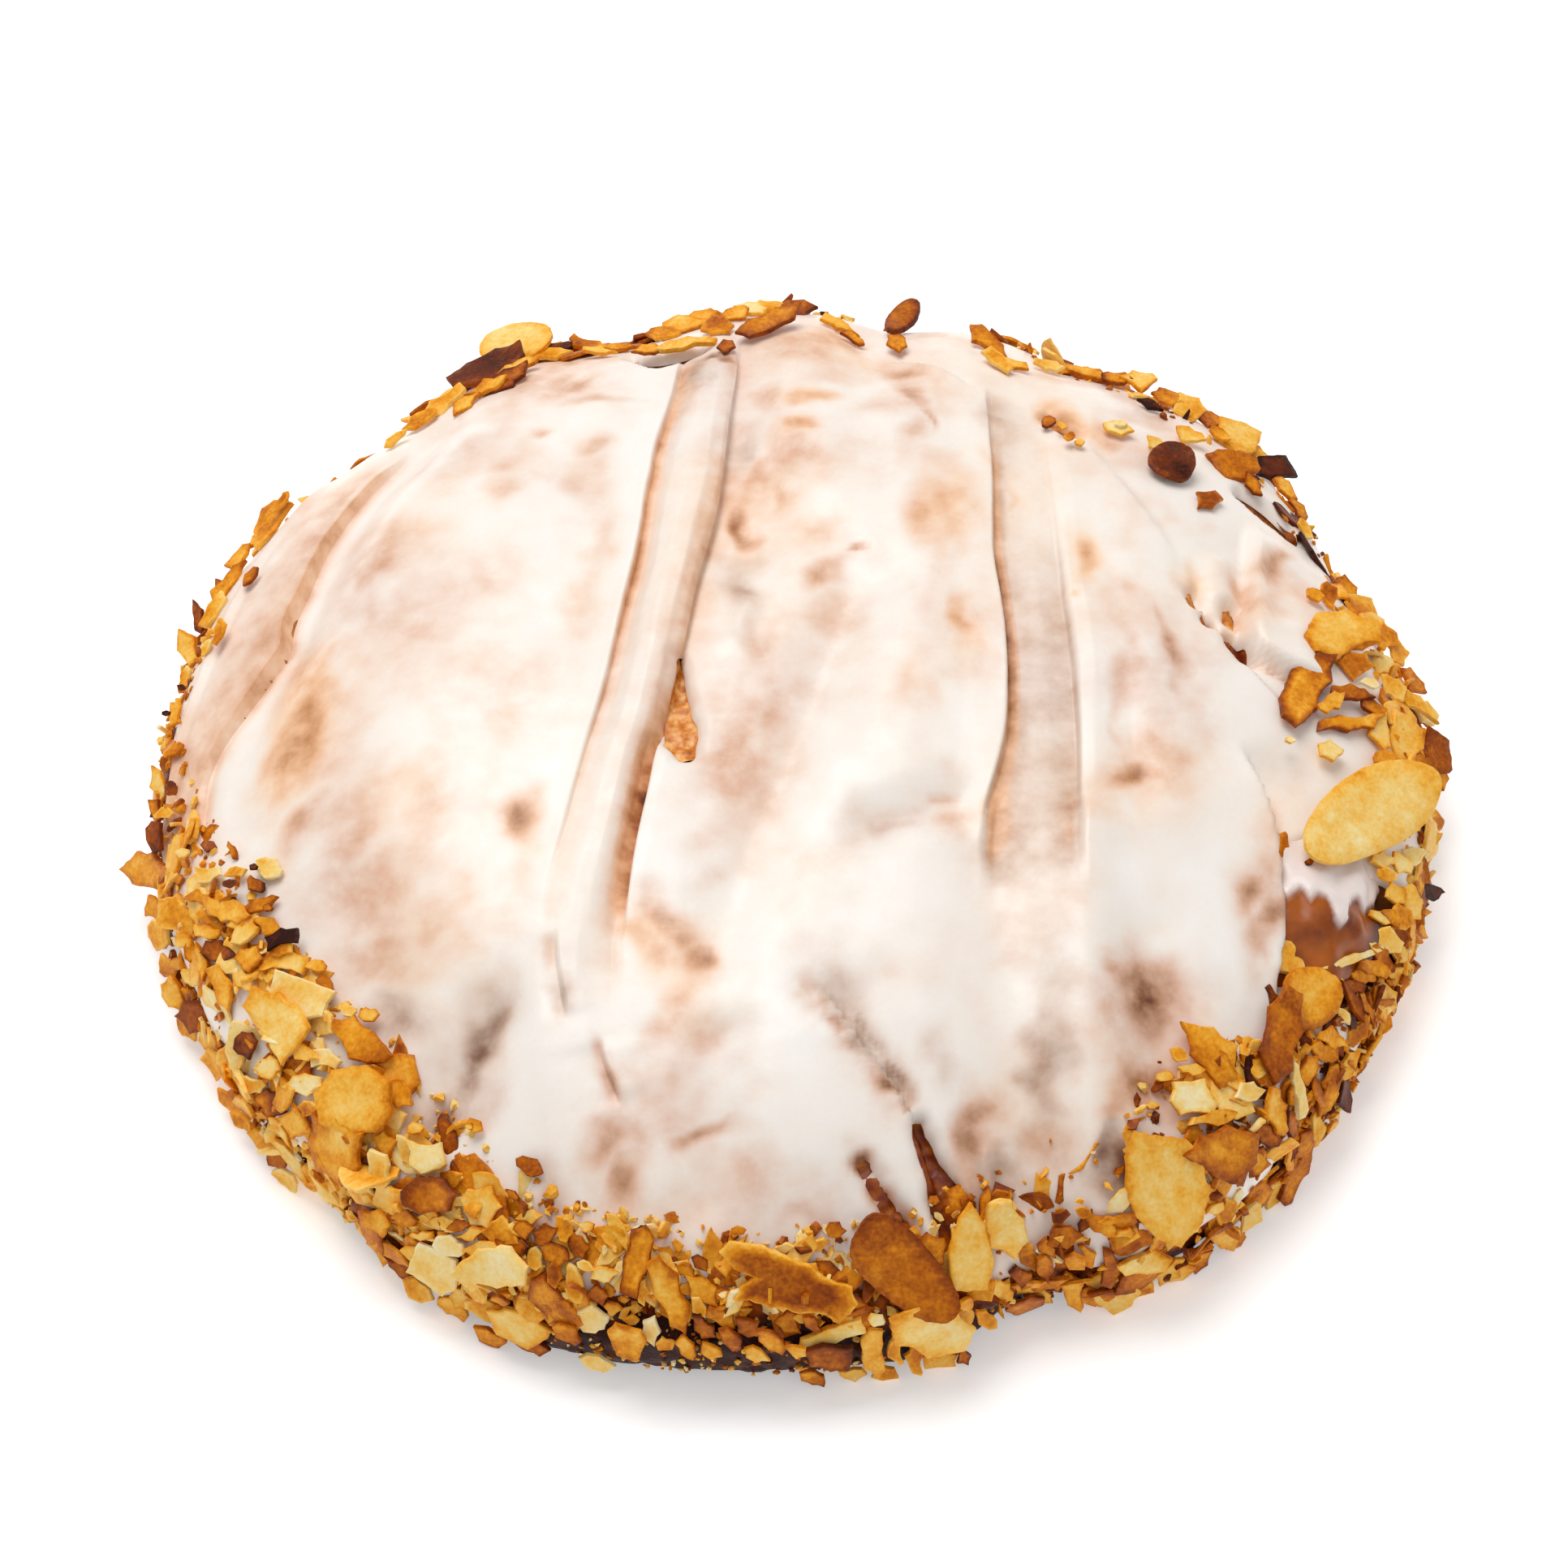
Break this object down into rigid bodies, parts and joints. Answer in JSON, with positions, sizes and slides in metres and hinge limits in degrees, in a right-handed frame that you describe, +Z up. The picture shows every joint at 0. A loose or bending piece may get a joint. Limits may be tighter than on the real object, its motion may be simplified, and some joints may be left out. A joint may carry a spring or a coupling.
{
  "type": "iced almond pastry",
  "caption": "Round domed pastry of folded sheets under white icing, with flaked almonds round the rim and an amber filling showing in a gap at the side",
  "frame": {"origin": "on the flat base, under the middle of the pastry's outline", "axes": "+Z up through the dome; -Y towards the side with the split top sheet; +X towards the side whose gap shows the filling"},
  "size_m": [0.1586, 0.1588, 0.0336],
  "materials": {
    "baked_dough": "matte, golden brown baked crust, darker at the base",
    "icing": "soft satin white glaze, thin and pinkish over the ridges",
    "filling": "glossy, translucent amber",
    "almond_crumb": "rough, toasted crumbs and broken slices",
    "almond_slice": "satin, cream to toasted brown, darker at the edge"
  },
  "bodies": {
    "root": {"pastry": "baked_dough", "filling": "filling", "almond_crust": "almond_crumb", "flake_right_whole": "almond_slice", "flake_front_orange": "almond_slice", "flake_front_notched": "almond_slice", "flake_front_pale_tall": "almond_slice", "flake_front_right_gold": "almond_slice", "flake_window_gold": "almond_slice", "flake_right_toasted": "almond_slice", "flake_right_cream": "almond_slice", "flake_back_left_pale": "almond_slice", "flake_back_left_dark": "almond_slice", "flake_left_pale": "almond_slice", "flake_left_gold": "almond_slice", "flake_front_left_brown": "almond_slice", "flake_front_left_cream": "almond_slice", "flake_front_left_upright": "almond_slice", "flake_front_upright": "almond_slice", "flake_front_pale_upright": "almond_slice", "flake_front_low_pale": "almond_slice", "flake_left_point": "almond_slice", "flake_back_right_dark": "almond_slice", "flake_back_brown": "almond_slice", "flake_back_knob_brown": "almond_slice", "flake_right_front_low": "almond_slice"}
  },
  "joints": []
}
